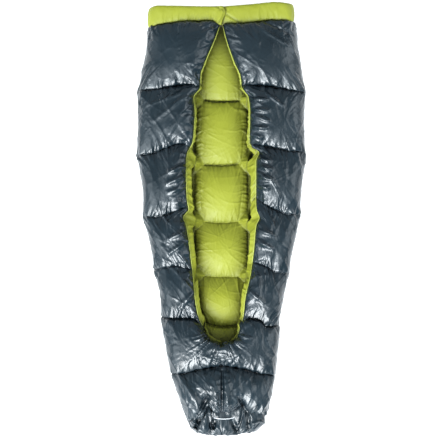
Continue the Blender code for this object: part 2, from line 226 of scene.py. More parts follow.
def curve(table, at, column=1):
    """A smooth line through the table's points, with no overshoot."""
    xs = np.array([row[0] for row in table], float)
    ys = np.array([row[column] for row in table], float)
    steps, slopes = np.diff(xs), np.diff(ys) / np.diff(xs)
    tangents = np.zeros_like(ys)
    same_way = slopes[:-1] * slopes[1:] > 0
    harmonic = 2 * slopes[:-1] * slopes[1:] / np.where(same_way, slopes[:-1] + slopes[1:], 1)
    tangents[1:-1] = np.where(same_way, harmonic, 0)
    tangents[0], tangents[-1] = slopes[0], slopes[-1]
    at = np.clip(np.asarray(at, float), xs[0], xs[-1])
    i = np.clip(np.searchsorted(xs, at) - 1, 0, len(xs) - 2)
    t = (at - xs[i]) / steps[i]
    first = (1 + 2 * t) * (1 - t) ** 2 * ys[i] + t * (1 - t) ** 2 * steps[i] * tangents[i]
    return first + t * t * (3 - 2 * t) * ys[i + 1] + t * t * (t - 1) * steps[i] * tangents[i + 1]


def smooth(t):
    t = np.clip(t, 0, 1)
    return t * t * (3 - 2 * t)


def round_end(y):
    """1 at the round end of the opening, 0 further up."""
    return smooth((ROUND_TOP - y) / 0.03)


def crown(t, chamber):
    return (4 * t * (1 - t)) ** np.array(CROWNS)[chamber]


def seam_y(channel, side, q):
    """Where a channel lies along the quilt. q: 0 to 1 on the back, to 2 round the fold, to 3 on the wing."""
    facts = CHANNELS[channel]
    wing = facts["wings"][side]
    back = facts["back"] + (facts["sides"][side] - facts["back"]) * smooth(q)
    fold = facts["sides"][side] + (wing[0][1] - facts["sides"][side]) * smooth(q - 1)
    return np.where(q < 1, back, np.where(q < 2, fold, curve(wing, q - 2)))


def grid_rows(times=1):
    """(chamber, share) of each row, foot to head; a channel's row is kept once."""
    found = []
    for chamber in range(len(CHANNELS) - 1):
        lengths = [abs(CHANNELS[chamber + 1]["back"] - CHANNELS[chamber]["back"])]
        lengths += [abs(CHANNELS[chamber + 1]["wings"][s][-1][1] - CHANNELS[chamber]["wings"][s][-1][1])
                    for s in (0, 1)]
        count = round(max(lengths) * 1.04 / ROW_STEP) * times
        found += [(chamber, i / count) for i in range(count)]
    found.append((len(CHANNELS) - 2, 1.0))
    return np.array([row[0] for row in found]), np.array([row[1] for row in found])


def half_columns(counts, fine_back=None):
    """The q of each column, from the back's middle to the wing's free edge."""
    back = np.linspace(0, 1, counts[0], endpoint=False)
    if fine_back:
        inside = round(counts[0] * 0.9)
        back = np.concatenate([np.linspace(0, fine_back, inside, endpoint=False),
                               np.linspace(fine_back, 1, counts[0] - inside, endpoint=False)])
    fold = np.linspace(1, 2, counts[1], endpoint=False)
    wing = np.linspace(2, 3, counts[2] + 1)
    if fine_back:
        wing = np.concatenate([np.linspace(2, 2 + TUCK_SHARE, 6, endpoint=False),
                               np.linspace(2 + TUCK_SHARE, 2 + LIP_SHARE, 4, endpoint=False),
                               np.linspace(2 + LIP_SHARE, 3, 8)])
    return np.concatenate([back, fold, wing])


class Half:
    """Places on one half of the quilt, for every row and column. Arrays are rows by columns."""

    def __init__(self, side, q, chamber, share):
        self.side, self.sign = side, (-1, 1)[side]
        self.q = q[None, :] * np.ones((len(chamber), 1))
        self.y = np.zeros_like(self.q)
        for k in range(len(CHANNELS) - 1):
            rows = chamber == k
            low, high = seam_y(k, side, self.q[rows]), seam_y(k + 1, side, self.q[rows])
            self.y[rows] = low + share[rows, None] * (high - low)
        halves = np.array([facts["half"][side] for facts in CHANNELS])
        drawn = np.array([pair[side] for pair in DRAWN_IN])
        share = share[:, None]
        self.full = crown(share, chamber[:, None])
        self.width = halves[chamber, None] * (1 - share) + halves[chamber + 1, None] * share
        self.width = self.width - drawn[chamber, None] * self.full
        self.turn = self.width - FOLD_REACH
        self.edge, self.edge_y = self.free_edge(self.y[:, -1:])
        self.y = self.y + (self.edge_y - self.y[:, -1:]) * smooth(self.q - 2)
        self.joined = smooth((CROTCH_Y - self.edge_y) / 0.02) * np.where(chamber == 0, 0.8, 1)[:, None]
        self.roll = np.minimum(curve(LINING_ROLL, self.edge_y), 0.15 * self.edge)
        self.wing_mid = WING_MID - SEAM_DROP * (1 - self.full)

    def free_edge(self, y):
        """The wing's edge, (x, y): rows near the round end of the opening are spread evenly along it."""
        path_y = np.linspace(*ROUND_END, 600)
        path_x = np.where(path_y > CROTCH_Y, curve(OPENING, path_y, 1 + self.side), 0)
        far = np.concatenate([[0], np.cumsum(np.hypot(np.diff(path_x), np.diff(path_y)))])
        at = far[-1] * (y - ROUND_END[0]) / (ROUND_END[1] - ROUND_END[0])
        near = (y > ROUND_END[0]) & (y < ROUND_END[1])
        y = np.where(near, np.interp(at, far, path_y), y)
        return np.where(y > CROTCH_Y, curve(OPENING, y, 1 + self.side), 0), y

    def wing_height(self, from_edge, loft, upwards):
        """Height of the wing's top or underside, at a distance from its free edge."""
        share = np.clip(from_edge / EDGE_ROLL, 0, 1)
        share = share + (1 - share) * self.joined
        thick = SEAM_THICK + (loft - SEAM_THICK) * self.full
        edge_thick = SEAM_THICK + (EDGE_THICK - SEAM_THICK) * self.full
        thick = edge_thick + (thick - edge_thick) * np.sin(share * math.pi / 2) ** 0.9
        sink = (EDGE_DROP + EDGE_SEAM_DROP * (1 - self.full)) * (1 - smooth(share))
        return self.wing_mid - sink + upwards * thick / 2

    def web_near(self, y, reach):
        """How near y is to a channel of the back that the opening shows, 0 to 1."""
        near = np.zeros(np.broadcast(y, reach).shape)
        for facts in CHANNELS[3:7]:
            near = np.maximum(near, np.clip(1.25 - np.abs(y - facts["back"] - WEB_RISE) / reach, 0, 1))
        return near

    def shell(self):
        back = np.clip(self.q, 0, 1)
        angle = (np.clip(self.q, 1, 2) - 1.5) * math.pi
        wing = np.clip(self.q - 2, 0, 1)
        top = self.wing_height(np.full_like(self.turn, EDGE_ROLL), SHELL_LOFT, 1) - DOME_DROP * self.full
        lift = BACK_LIFT * (1 - self.full)
        fold_x = self.turn + np.cos(angle) * FOLD_REACH
        fold_z = (top + lift) / 2 + np.sin(angle) * (top - lift) / 2
        wing_x = self.turn + (self.edge - self.turn) * wing
        wing_z = self.wing_height(wing_x - self.edge, SHELL_LOFT, 1)
        wing_z = wing_z - DOME_DROP * self.full * (1 - smooth((self.turn - wing_x) / DOME_REACH))
        x = np.where(self.q < 1, self.turn * back, np.where(self.q < 2, fold_x, wing_x))
        z = np.where(self.q < 1, lift, np.where(self.q < 2, fold_z, wing_z))
        return np.stack([self.sign * x, self.y, z], -1)

    def lining(self):
        back = np.clip(self.q, 0, 1)
        angle = (np.clip(self.q, 1, 2) - 1.5) * math.pi
        wing = np.clip(self.q - 2, 0, 1)
        turn = self.turn - 0.01
        back_x = turn * back
        pillow = (1 - np.minimum(back_x / VALLEY_X, 1) ** 2.3) ** 0.8
        beyond = 0.6 * smooth((back_x - VALLEY_X - 0.01) / 0.06)
        back_z = SEAM_THICK + (LINING_LOFT - SEAM_THICK) * np.maximum(pillow, beyond) * self.full
        spread = np.maximum(back_x - WEB_START, 0)
        web_z = SEAM_THICK + WEB_HEIGHT * np.minimum(spread / (WEB_END - WEB_START), 1)
        web_z = web_z * smooth((WEB_END + 0.03 - back_x) / 0.03)
        web = self.web_near(self.y, 0.004 + 0.75 * spread)
        back_z = np.maximum(back_z, back_z + (web_z - back_z) * web)
        under = self.wing_height(np.full_like(turn, EDGE_ROLL), LINING_LOFT, -1) - LINING_GAP
        low = SEAM_THICK + (LINING_LOFT - SEAM_THICK) * self.full
        fold_x = turn + np.cos(angle) * FOLD_REACH * 0.35
        fold_z = (low + under) / 2 + np.sin(angle) * (under - low) / 2
        edge_z = self.wing_height(np.zeros_like(turn), SHELL_LOFT, 1) - 0.001 - JOINED_DROP * self.joined
        edge_z = edge_z - ROUND_DROP * round_end(self.edge_y)
        lip_x = self.edge - self.roll
        in_part = np.clip(wing / TUCK_SHARE, 0, 1)
        curl = np.clip((wing - TUCK_SHARE) / (LIP_SHARE - TUCK_SHARE), 0, 1)
        out_part = np.clip((wing - LIP_SHARE) / (1 - LIP_SHARE), 0, 1)
        lip_z = edge_z - 0.8 * self.roll
        flare = smooth(self.web_near(self.edge_y, 0.036))
        lip_x = lip_x + (WEB_END - 0.004 - lip_x) * flare
        lip_z = lip_z + (SEAM_THICK + WEB_HEIGHT - lip_z) * flare
        tuck_x, tuck_z = lip_x + 0.004, lip_z - 0.018 * (1 - 0.5 * flare)
        in_x = turn + (tuck_x - turn) * in_part
        in_z = under + (tuck_z - under) * smooth(in_part) ** 2
        curl_x = tuck_x + (lip_x - tuck_x) * curl
        curl_z = tuck_z + (lip_z - tuck_z) * curl
        out_x = lip_x + (self.edge - lip_x) * out_part
        out_z = lip_z + (edge_z - lip_z) * out_part
        wing_x = np.where(wing < TUCK_SHARE, in_x, np.where(wing < LIP_SHARE, curl_x, out_x))
        wing_z = np.where(wing < TUCK_SHARE, in_z, np.where(wing < LIP_SHARE, curl_z, out_z))
        x = np.where(self.q < 1, back_x, np.where(self.q < 2, fold_x, wing_x))
        z = np.where(self.q < 1, back_z, np.where(self.q < 2, fold_z, wing_z))
        return np.stack([self.sign * x, self.y, z], -1)


def full_grid(kind, counts, fine_back=None):
    """(points, q, chamber, share) of a whole cloth: left wing's edge, under the back, right wing's edge."""
    chamber, share = grid_rows()
    q = half_columns(counts, fine_back)
    left, right = (getattr(Half(side, q, chamber, share), kind)() for side in (0, 1))
    points = np.concatenate([left[:, :0:-1], right], axis=1)
    return points, np.concatenate([-q[:0:-1], q]), chamber, share


def grid_faces(rows, columns, offset=0):
    index = np.arange(rows * columns).reshape(rows, columns) + offset
    corners = [index[:-1, :-1], index[:-1, 1:], index[1:, 1:], index[1:, :-1]]
    return np.stack(corners, -1).reshape(-1, 4)


def new_mesh(name, points, faces):
    mesh = bpy.data.meshes.new(name)
    mesh.from_pydata(points.reshape(-1, 3).tolist(), [], faces.tolist())
    mesh.update()
    return mesh


def new_object(name, mesh):
    made = bpy.data.objects.new(name, mesh)
    bpy.context.scene.collection.objects.link(made)
    return made


def chamber_rows(chamber, k):
    """The rows of chamber k, with the channel's row at each end."""
    rows = np.nonzero(chamber == k)[0]
    return rows if k == len(CHANNELS) - 2 else np.append(rows, rows[-1] + 1)


def flat_pattern(points, gather, ease):
    """The cloth laid flat, a little wider and longer than the place that it is sewn to."""
    across = np.linalg.norm(np.diff(points, axis=1), axis=2)
    along = np.linalg.norm(np.diff(points, axis=0), axis=2)
    middle = points.shape[1] // 2
    u = np.concatenate([np.zeros((len(points), 1)), np.cumsum(across, axis=1)], axis=1)
    u = u - u[:, middle : middle + 1]
    v = np.concatenate([np.zeros((1, points.shape[1])), np.cumsum(along, axis=0)], axis=0)
    return np.stack([u * gather, v * ease, np.zeros_like(u)], -1)


def cloth_piece(name, points, pins, gather=1.12, ease=1.05, pressure=-4.0, bending=0.02):
    """A grid of cloth, held where pins is above 0, ready to be puffed up."""
    rows, columns = points.shape[:2]
    made = new_object(name, new_mesh(name, points, grid_faces(rows, columns)))
    made.shape_key_add(name="Basis")
    rest = made.shape_key_add(name="rest")
    rest.data.foreach_set("co", flat_pattern(points, gather, ease).astype(np.float32).ravel())
    group = made.vertex_groups.new(name="pins")
    flat = pins.ravel()
    for weight in np.unique(flat[flat > 0]):
        group.add(np.nonzero(flat == weight)[0].tolist(), float(weight), "REPLACE")
    cloth = made.modifiers.new("cloth", "CLOTH")
    settings = cloth.settings
    settings.quality = 5
    settings.mass = 0.02
    settings.tension_stiffness = settings.compression_stiffness = 12
    settings.shear_stiffness = 5
    settings.bending_stiffness = bending
    settings.tension_damping = settings.compression_damping = settings.shear_damping = 2
    settings.bending_damping = 0.5
    settings.vertex_group_mass = "pins"
    settings.pin_stiffness = 1
    settings.use_pressure = True
    settings.uniform_pressure_force = pressure
    settings.rest_shape_key = rest
    settings.effector_weights.gravity = 0
    cloth.collision_settings.use_collision = False
    cloth.point_cache.frame_start, cloth.point_cache.frame_end = 1, SIM_FRAMES
    return made


def simulate(pieces):
    """Runs all the cloth at once. Gives each piece's new points and removes the piece."""
    for number in range(1, SIM_FRAMES + 1):
        bpy.context.scene.frame_set(number)
    graph = bpy.context.evaluated_depsgraph_get()
    found = []
    for piece in pieces:
        mesh = piece.evaluated_get(graph).to_mesh()
        points = np.empty(len(mesh.vertices) * 3, np.float32)
        mesh.vertices.foreach_get("co", points)
        found.append(points.reshape(-1, 3).astype(float))
    for piece in pieces:
        bpy.data.objects.remove(piece)
    bpy.context.scene.frame_set(1)
    return found


def grid_normals(points):
    du = np.gradient(points, axis=1)
    dv = np.gradient(points, axis=0)
    normals = np.cross(du, dv)
    return normals / np.maximum(np.linalg.norm(normals, axis=2, keepdims=True), 1e-12)


def comb(places, away, seeds, pitch, reach, height, power=2.0):
    """Ridges that run away from a sewn line. Both sides of the line share seeds[:-1]."""
    rng = np.random.default_rng(seeds[:-1])
    own = np.random.default_rng(seeds)
    lift = np.zeros(np.broadcast(places, away).shape)
    place = places.min()
    while place < places.max():
        wide = pitch * rng.uniform(0.5, 1.6)
        tall = height * rng.uniform(0.4, 1.4)
        far = reach * own.uniform(0.4, 1.8)
        line = place + own.normal(0, 0.35) * away + own.normal(0, 2.0) * away**2
        lift += tall * np.exp(-(np.abs((places - line) / (wide * 0.28)) ** power) - away / far)
        place += wide
    return lift * (0.35 + 0.65 * np.clip(away / 0.01, 0, 1))


def fan(out, up, seeds, count, reach, height):
    """Ridges that spread from a corner where two sewn lines meet."""
    rng = np.random.default_rng(seeds)
    lift = np.zeros(out.shape)
    for angle in np.linspace(0.2, 1.35, count) + rng.normal(0, 0.08, count):
        along = out * math.cos(angle) + up * math.sin(angle)
        aside = out * math.sin(angle) - up * math.cos(angle)
        wide = 0.004 + 0.09 * np.maximum(along, 0)
        ridge = np.exp(-((aside / wide) ** 2) - np.maximum(along, 0) / (reach * rng.uniform(0.6, 1.5)))
        lift += height * rng.uniform(0.5, 1.3) * ridge * smooth(along / 0.02)
    return lift


def rays(x, y, seeds, count, reach, height):
    """Ridges that spread footwards from the round end of the opening."""
    rng = np.random.default_rng(seeds)
    far = np.hypot(x, y - RAYS_FROM_Y)
    bearing = np.arctan2(x, RAYS_FROM_Y - y)
    lift = np.zeros(x.shape)
    for angle in np.linspace(-1.35, 1.35, count) + rng.normal(0, 0.05, count):
        wide = 0.040 * rng.uniform(0.6, 1.3)
        tail = np.exp(-np.maximum(far - 0.06, 0) / (reach * rng.uniform(0.5, 1.5)))
        lift += height * rng.uniform(0.5, 1.3) * np.exp(-(((bearing - angle) / wide) ** 2)) * tail
    return lift * smooth((far - 0.03) / 0.02)


def lumps(points, seed, size, height):
    """Slow swells, as of down that has shifted."""
    rng = np.random.default_rng(seed)
    lift = np.zeros(points.shape[:2])
    for _ in range(9):
        way = rng.normal(0, 1, 3)
        way *= rng.uniform(0.7, 1.4) * 2 * math.pi / size / np.linalg.norm(way)
        lift += np.sin(points @ way + rng.uniform(0, 6.28))
    return lift * height / 3


def crumple(points, size, stretch, seed):
    """Creases of thin cloth: sharp crests between smooth hollows, 0 to 1."""
    scaled = points.reshape(-1, 3) / np.array([size, size * stretch, size])
    shift = Vector((seed * 3.1, seed * 7.7, seed * 1.3))
    found = np.empty(len(scaled))
    for i, place in enumerate(scaled):
        bent = Vector(place) + shift
        bent += noise.noise_vector(bent * 0.6) * 0.9
        found[i] = 1 - min(1, abs(noise.noise(bent)) * 2.6)
    return found.reshape(points.shape[:2]) ** 2


def doubled(values, axis):
    """Twice as fine along an axis, on a smooth curve through the values."""
    values = np.moveaxis(values, axis, 0)
    ends = np.concatenate([2 * values[:1] - values[1:2], values, 2 * values[-1:] - values[-2:-1]])
    between = (9 * (ends[1:-2] + ends[2:-1]) - ends[:-3] - ends[3:]) / 16
    found = np.empty((2 * len(values) - 1, *values.shape[1:]))
    found[::2], found[1::2] = values, between
    return np.moveaxis(found, 0, axis)


def refined(points):
    return doubled(doubled(points, 0), 1)


class Chamber:
    """Distances within one chamber of a cloth: from its channels and from the cloth's two long edges."""

    def __init__(self, points, chamber, k):
        self.rows = chamber_rows(chamber, k)
        part = points[self.rows]
        up = np.cumsum(np.linalg.norm(np.diff(part, axis=0), axis=2), axis=0)
        self.below = np.concatenate([np.zeros((1, part.shape[1])), up])
        self.above = self.below[-1] - self.below
        over = np.cumsum(np.linalg.norm(np.diff(part, axis=1), axis=2), axis=1)
        self.left = np.concatenate([np.zeros((len(part), 1)), over], axis=1)
        self.right = self.left[:, -1:] - self.left
        self.full = crown(self.below / self.below[-1], k)


def placed_folds(points, folds):
    """Folds that show singly: ridges where the height is above 0, creases where it is below."""
    x, y = points[..., 0], points[..., 1]
    lift = np.zeros(x.shape)
    for (x0, y0), (x1, y1), wide, height in folds:
        way = np.array([x1 - x0, y1 - y0])
        share = np.clip(((x - x0) * way[0] + (y - y0) * way[1]) / (way @ way), 0, 1)
        far = np.hypot(x - x0 - share * way[0], y - y0 - share * way[1])
        lift += height * np.exp(-((far / wide) ** 2)) * (0.4 + 0.6 * np.sin(math.pi * (0.1 + 0.8 * share)))
    return lift


def shell_ridges(points, chamber):
    lift = np.zeros(points.shape[:2])
    for k in range(len(CHANNELS) - 1):
        here = Chamber(points, chamber, k)
        found = comb(here.left[0], here.below, (1, k, 0), 0.026, 0.045, 0.0050)
        found += comb(here.left[-1], here.above, (1, k + 1, 1), 0.026, 0.050, 0.0050)
        for side, out in enumerate((here.left, here.right)):
            found += comb(here.below, out, (2, k, side), 0.034, 0.040, 0.0050) * here.full * smooth(out / 0.02)
            found += fan(out, here.below, (3, k, side), 4, 0.08, 0.0045)
            found += fan(out, here.above, (4, k, side), 4, 0.08, 0.0045)
        lift[here.rows] = found * smooth(np.minimum(here.left, here.right) / 0.014)
    lift += rays(points[..., 0], points[..., 1], (5,), 17, 0.06, 0.0090) * (chamber <= 2)[:, None]
    return lift + lumps(points, 5, 0.13, 0.0014)


def shell_creases(points, chamber):
    """Fine wrinkles on the simulated shell."""
    lift = np.zeros(points.shape[:2])
    for k in range(len(CHANNELS) - 1):
        here = Chamber(points, chamber, k)
        found = comb(here.left[0], here.below, (21, k, 0), 0.014, 0.030, 0.0022, 1.4)
        found += comb(here.left[-1], here.above, (21, k + 1, 1), 0.014, 0.040, 0.0026, 1.4)
        found += comb(here.left[0], here.below, (25, k, 0), 0.034, 0.070, 0.0036, 1.6)
        found += comb(here.left[-1], here.above, (25, k + 1, 1), 0.034, 0.080, 0.0040, 1.6)
        for side, out in enumerate((here.left, here.right)):
            edge_fade = smooth(out / 0.02)
            found += comb(here.below, out, (22, k, side), 0.030, 0.045, 0.0060, 1.5) * here.full * edge_fade
            found += fan(out, here.below, (23, k, side), 4, 0.10, 0.0022)
            found += fan(out, here.above, (24, k, side), 4, 0.10, 0.0022)
        lift[here.rows] = found * smooth(np.minimum(here.left, here.right) / 0.014)
    return lift + 0.0008 * crumple(points, 0.045, 1.6, 2)


def pillow_combs(points, q, chamber, seed, pitch, reach, height):
    """Gathers of the back's pillows: up and down from the channels, and inwards from the valleys."""
    lift = np.zeros(points.shape[:2])
    for k in range(len(CHANNELS) - 1):
        here = Chamber(points, chamber, k)
        x = points[here.rows][..., 0]
        inside = (np.abs(q)[None, :] < 1) * smooth((VALLEY_X - np.abs(x)) / 0.05)
        found = comb(here.left[0], here.below, (seed, k, 0), pitch, 0.8 * reach, 0.8 * height, 1.6) * inside
        found += comb(here.left[-1], here.above, (seed, k + 1, 1), pitch, reach, height, 1.6) * inside
        for side, sign in enumerate((-1, 1)):
            out = np.maximum(VALLEY_X - sign * x, 0)
            side_comb = comb(here.below, out, (seed + 1, k, side), pitch, reach, 1.3 * height, 1.6)
            found += side_comb * here.full * (np.abs(q)[None, :] < 1)
        lift[here.rows] = found
    return lift


def strip_creases(points, q, chamber):
    """Puckers across the strips of lining that roll out of the wings' edges."""
    lift = np.zeros(points.shape[:2])
    on_strip = smooth((np.abs(q) - 2 - LIP_SHARE + 0.05) / 0.06) * smooth((3 - np.abs(q)) / 0.05)
    for k in range(len(CHANNELS) - 1):
        here = Chamber(points, chamber, k)
        for side, out in enumerate((here.left, here.right)):
            near = out < np.minimum(here.left[:, -1:], here.right[:, :1]) / 2
            lift[here.rows] += comb(here.below, out, (55, k, side), 0.022, 0.060, 0.0045, 1.6) * near
    return lift * on_strip


def capped(points, start, most):
    """The simulated points, none further than most from where it started."""
    move = points - start
    far = np.linalg.norm(move, axis=-1, keepdims=True)
    return start + move * np.minimum(1, most / np.maximum(far, 1e-9))


# ---- Materials ---------------------------------------------------------------------------------
def nylon(name, colour, worn_colour, roughness, sheen, gloss=0.5, painted_shade_range=(0.20, 0.85)):
    """Thin calendered nylon: a fine ripstop weave, soft crinkles, a little wear in the gloss, and painted shade where
    ambient occlusion darkens the colour in hollows.

    painted_shade_range is the openness below which the painted shade is at its darkest, and above which the colour is
    at its lightest."""
    made = bpy.data.materials.new(name)
    made.use_nodes = True
    nodes, links = made.node_tree.nodes, made.node_tree.links
    shader = nodes["Principled BSDF"]
    shader.inputs["Specular IOR Level"].default_value = gloss
    shader.inputs["Sheen Weight"].default_value = sheen
    shader.inputs["Sheen Roughness"].default_value = 0.4
    place = nodes.new("ShaderNodeTexCoord").outputs["Object"]

    def noise_at(scale, detail, distortion=0.0):
        found = nodes.new("ShaderNodeTexNoise")
        found.inputs["Scale"].default_value = scale
        found.inputs["Detail"].default_value = detail
        found.inputs["Distortion"].default_value = distortion
        links.new(place, found.inputs["Vector"])
        return found.outputs["Fac"]

    def ranged(value, low, high, start=0.3, end=0.7):
        found = nodes.new("ShaderNodeMapRange")
        found.inputs["From Min"].default_value = start
        found.inputs["From Max"].default_value = end
        found.inputs["To Min"].default_value = low
        found.inputs["To Max"].default_value = high
        links.new(value, found.inputs["Value"])
        return found.outputs["Result"]

    def bumped(height, strength, distance, below=None):
        found = nodes.new("ShaderNodeBump")
        found.inputs["Strength"].default_value = strength
        found.inputs["Distance"].default_value = distance
        links.new(height, found.inputs["Height"])
        if below:
            links.new(below, found.inputs["Normal"])
        return found.outputs["Normal"]

    blend = nodes.new("ShaderNodeMix")
    blend.data_type = "RGBA"
    blend.inputs["A"].default_value = (*colour, 1)
    blend.inputs["B"].default_value = (*worn_colour, 1)
    links.new(ranged(noise_at(7.0, 4.0), 0.0, 1.0), blend.inputs["Factor"])
    # Painted shade: ambient occlusion darkens the colour in hollows, seams and valleys, down to a set share of it
    # where they are deepest.
    painted_shade_ao = nodes.new("ShaderNodeAmbientOcclusion")
    painted_shade_ao.samples = 6
    painted_shade_ao.inputs["Distance"].default_value = PAINTED_SHADE_REACH
    links.new(blend.outputs["Result"], painted_shade_ao.inputs["Color"])
    painted_shade_mix = nodes.new("ShaderNodeMix")
    painted_shade_mix.data_type = "RGBA"
    painted_shade_mix.inputs["A"].default_value = (*(level * PAINTED_SHADE_LEVEL for level in colour), 1)
    links.new(blend.outputs["Result"], painted_shade_mix.inputs["B"])
    links.new(ranged(painted_shade_ao.outputs["AO"], 0.0, 1.0, *painted_shade_range), painted_shade_mix.inputs["Factor"])
    links.new(ranged(noise_at(25.0, 3.0), roughness * 0.85, roughness * 1.2), shader.inputs["Roughness"])
    def waved(direction, scale, distortion):
        wave = nodes.new("ShaderNodeTexWave")
        wave.bands_direction = direction
        wave.inputs["Scale"].default_value = scale
        wave.inputs["Distortion"].default_value = distortion
        links.new(place, wave.inputs["Vector"])
        return wave.outputs["Fac"]

    def computed(operation, value, other):
        found = nodes.new("ShaderNodeMath")
        found.operation = operation
        links.new(value, found.inputs[0])
        if isinstance(other, float):
            found.inputs[1].default_value = other
        else:
            links.new(other, found.inputs[1])
        return found.outputs[0]

    def stored(attribute):
        found = nodes.new("ShaderNodeAttribute")
        found.attribute_name = attribute
        return found.outputs["Fac"]

    dashes = computed("PINGPONG", stored("seam_along"), STITCH_PITCH / 2)
    dashes = computed("LESS_THAN", dashes, STITCH_PITCH * 0.3)
    on_line = computed("GREATER_THAN", stored("seam_near"), 1 - STITCH_HALF / SEAM_REACH)
    stitches = computed("MULTIPLY", on_line, dashes)
    thread = nodes.new("ShaderNodeMix")
    thread.data_type = "RGBA"
    links.new(painted_shade_mix.outputs["Result"], thread.inputs["A"])
    thread.inputs["B"].default_value = (*(level * THREAD_LEVEL for level in colour), 1)
    links.new(stitches, thread.inputs["Factor"])
    links.new(thread.outputs["Result"], shader.inputs["Base Color"])
    weave = bumped(stitches, 0.8, 0.0005)
    for direction in ("X", "Y"):
        weave = bumped(waved(direction, WEAVE_SCALE, 0.3), 0.25, 0.0001, weave)
        ripstop = ranged(waved(direction, RIPSTOP_SCALE, 0.0), 0.0, 1.0, 0.92, 1.0)
        weave = bumped(ripstop, 0.25, 0.00012, weave)
    crinkled = bumped(noise_at(140.0, 3.0, 0.8), 0.2, 0.0003, weave)
    links.new(bumped(noise_at(45.0, 2.0, 1.0), 0.2, 0.0006, crinkled), shader.inputs["Normal"])
    return made


def plain(name, colour, roughness, glow=0.0):
    made = bpy.data.materials.new(name)
    made.use_nodes = True
    shader = made.node_tree.nodes["Principled BSDF"]
    shader.inputs["Base Color"].default_value = (*colour, 1)
    shader.inputs["Roughness"].default_value = roughness
    shader.inputs["Emission Color"].default_value = (1, 1, 1, 1)
    shader.inputs["Emission Strength"].default_value = glow
    return made


WEAVE_SCALE, RIPSTOP_SCALE = 250.0, 63.0  # threads about 1.2 mm apart, and a heavier one every 5 mm
STITCH_PITCH, STITCH_HALF, THREAD_LEVEL = 0.0045, 0.0008, 1.7
SEAM_REACH = 0.010
# Reach of the painted shade in hollows, and the share of the colour that is left where it is darkest
PAINTED_SHADE_REACH, PAINTED_SHADE_LEVEL = 0.10, 0.10
shell_nylon = nylon("shell_nylon", (0.007, 0.014, 0.019), (0.011, 0.020, 0.027), 0.19, 0.0)
lining_nylon = nylon("lining_nylon", (0.238, 0.254, 0.018), (0.260, 0.278, 0.022), 0.50, 0.05, 0.32, (0.32, 0.94))
binding_green = nylon("binding_green", (0.42, 0.45, 0.07), (0.36, 0.40, 0.05), 0.5, 0.1)
# Pale colour of the foot's hem edge: a painted highlight, standing for the light that the dark hem catches
hem_highlight_finish = nylon("pale_piping", (0.60, 0.62, 0.64), (0.50, 0.52, 0.54), 0.6, 0.1)
floor_white = plain("floor", (0.8, 0.8, 0.8), 0.9, glow=0.75)


def stitch_lines(points, chamber, in_from_edge=None):
    """How near each point is to a sewn line, 1 on it and 0 from SEAM_REACH away, and how far along it."""
    near, along = np.zeros(points.shape[:2]), np.zeros(points.shape[:2])
    for k in range(len(CHANNELS) - 1):
        here = Chamber(points, chamber, k)
        away = np.minimum(here.below, here.above)
        place = here.left
        if in_from_edge:
            hem = np.minimum(np.abs(here.left - in_from_edge), np.abs(here.right - in_from_edge))
            away, place = np.minimum(away, hem), np.where(hem < away, here.below, place)
        near[here.rows] = np.clip(1 - away / SEAM_REACH, 0, 1)
        along[here.rows] = place
    return near, along


def finished(name, points, faces, finish, seams=None):
    mesh = new_mesh(name, points, faces)
    mesh.shade_smooth()
    mesh.materials.append(finish)
    for attribute, values in zip(("seam_near", "seam_along"), seams or ()):
        stored = mesh.attributes.new(attribute, "FLOAT", "POINT")
        stored.data.foreach_set("value", np.ascontiguousarray(values, np.float32).ravel())
    return new_object(name, mesh)


# ---- Shell and lining --------------------------------------------------------------------------
def shell_cloth():
    points, q, chamber, share = full_grid("shell", SHELL_COLUMNS)
    lift = shell_ridges(points, chamber) * smooth((np.abs(q) - 1) / 0.3)
    lift[:, [0, -1]] = 0
    points = points - grid_normals(points) * lift[..., None]
    points[..., 2] = np.maximum(points[..., 2], 0)
    pins = np.zeros(points.shape[:2])
    pins[share == 0] = 1
    pins[-1] = 1
    pins[:, np.abs(q) < 1] = 1
    pins[:, [0, -1]] = 1
    return points, pins, chamber


def chamber_pieces(name, points, pins, chamber, **settings):
    found = []
    for k in range(len(CHANNELS) - 1):
        rows = chamber_rows(chamber, k)
        found.append((rows, cloth_piece(f"{name}_{k}", points[rows], pins[rows], **settings)))
    return found


def close_joint(points):
    """Below the opening the wings are one panel: brings both edges to one height, with no groove."""
    inner = JOINT_COLUMNS
    heights = []
    for side, here, there in ((0, inner, -1 - inner), (1, -1 - inner, inner)):
        other = np.interp(points[:, -side, 1], points[:, there, 1], points[:, there, 2])
        heights.append((points[:, here, 2] + other) / 2)
    below = smooth((CROTCH_Y - points[:, [0, -1], 1]) / 0.01)
    for side in (0, 1):
        for i in range(inner):
            column = i if side == 0 else -1 - i
            share = (1 - i / inner) * below[:, side]
            edge = points[:, inner if side == 0 else -1 - inner, 2]
            level = edge + (heights[side] - edge) * share
            points[:, column, 2] += (level - points[:, column, 2]) * below[:, side]


def kept_below(points, covers):
    """The points, moved down where they would show through a wing that covers them."""
    graph = bpy.context.evaluated_depsgraph_get()
    trees = [BVHTree.FromObject(cover, graph) for cover in covers]
    down = Vector((0, 0, -1))
    for row in points:
        for point in row[1:-1]:
            for tree in trees:
                hit = tree.ray_cast(Vector((point[0], point[1], 1)), down)[0]
                if hit:
                    point[2] = min(point[2], hit.z - LINING_GAP)
    return points


shell_start, shell_pins, shell_chamber = shell_cloth()
lining_start, lining_q, lining_chamber, lining_share = full_grid("lining", LINING_COLUMNS, LINING_FINE)
lining_lift = pillow_combs(lining_start, lining_q, lining_chamber, 11, 0.022, 0.035, 0.0025)
lining_start = lining_start + grid_normals(lining_start) * lining_lift[..., None]
lining_pins = np.zeros(lining_start.shape[:2])
seam_rows = np.append(np.nonzero(lining_share == 0)[0], len(lining_start) - 1)
lining_pins[seam_rows] = 1
lining_pins[:, (np.abs(lining_q) > 0.75) & (np.abs(lining_q) < 2.6)] = 1
lining_pins[:, np.abs(lining_q) > 2.6] = 0.8
lining_pins[:, [0, -1]] = 1
lining_pins[[0, -1]] = 1

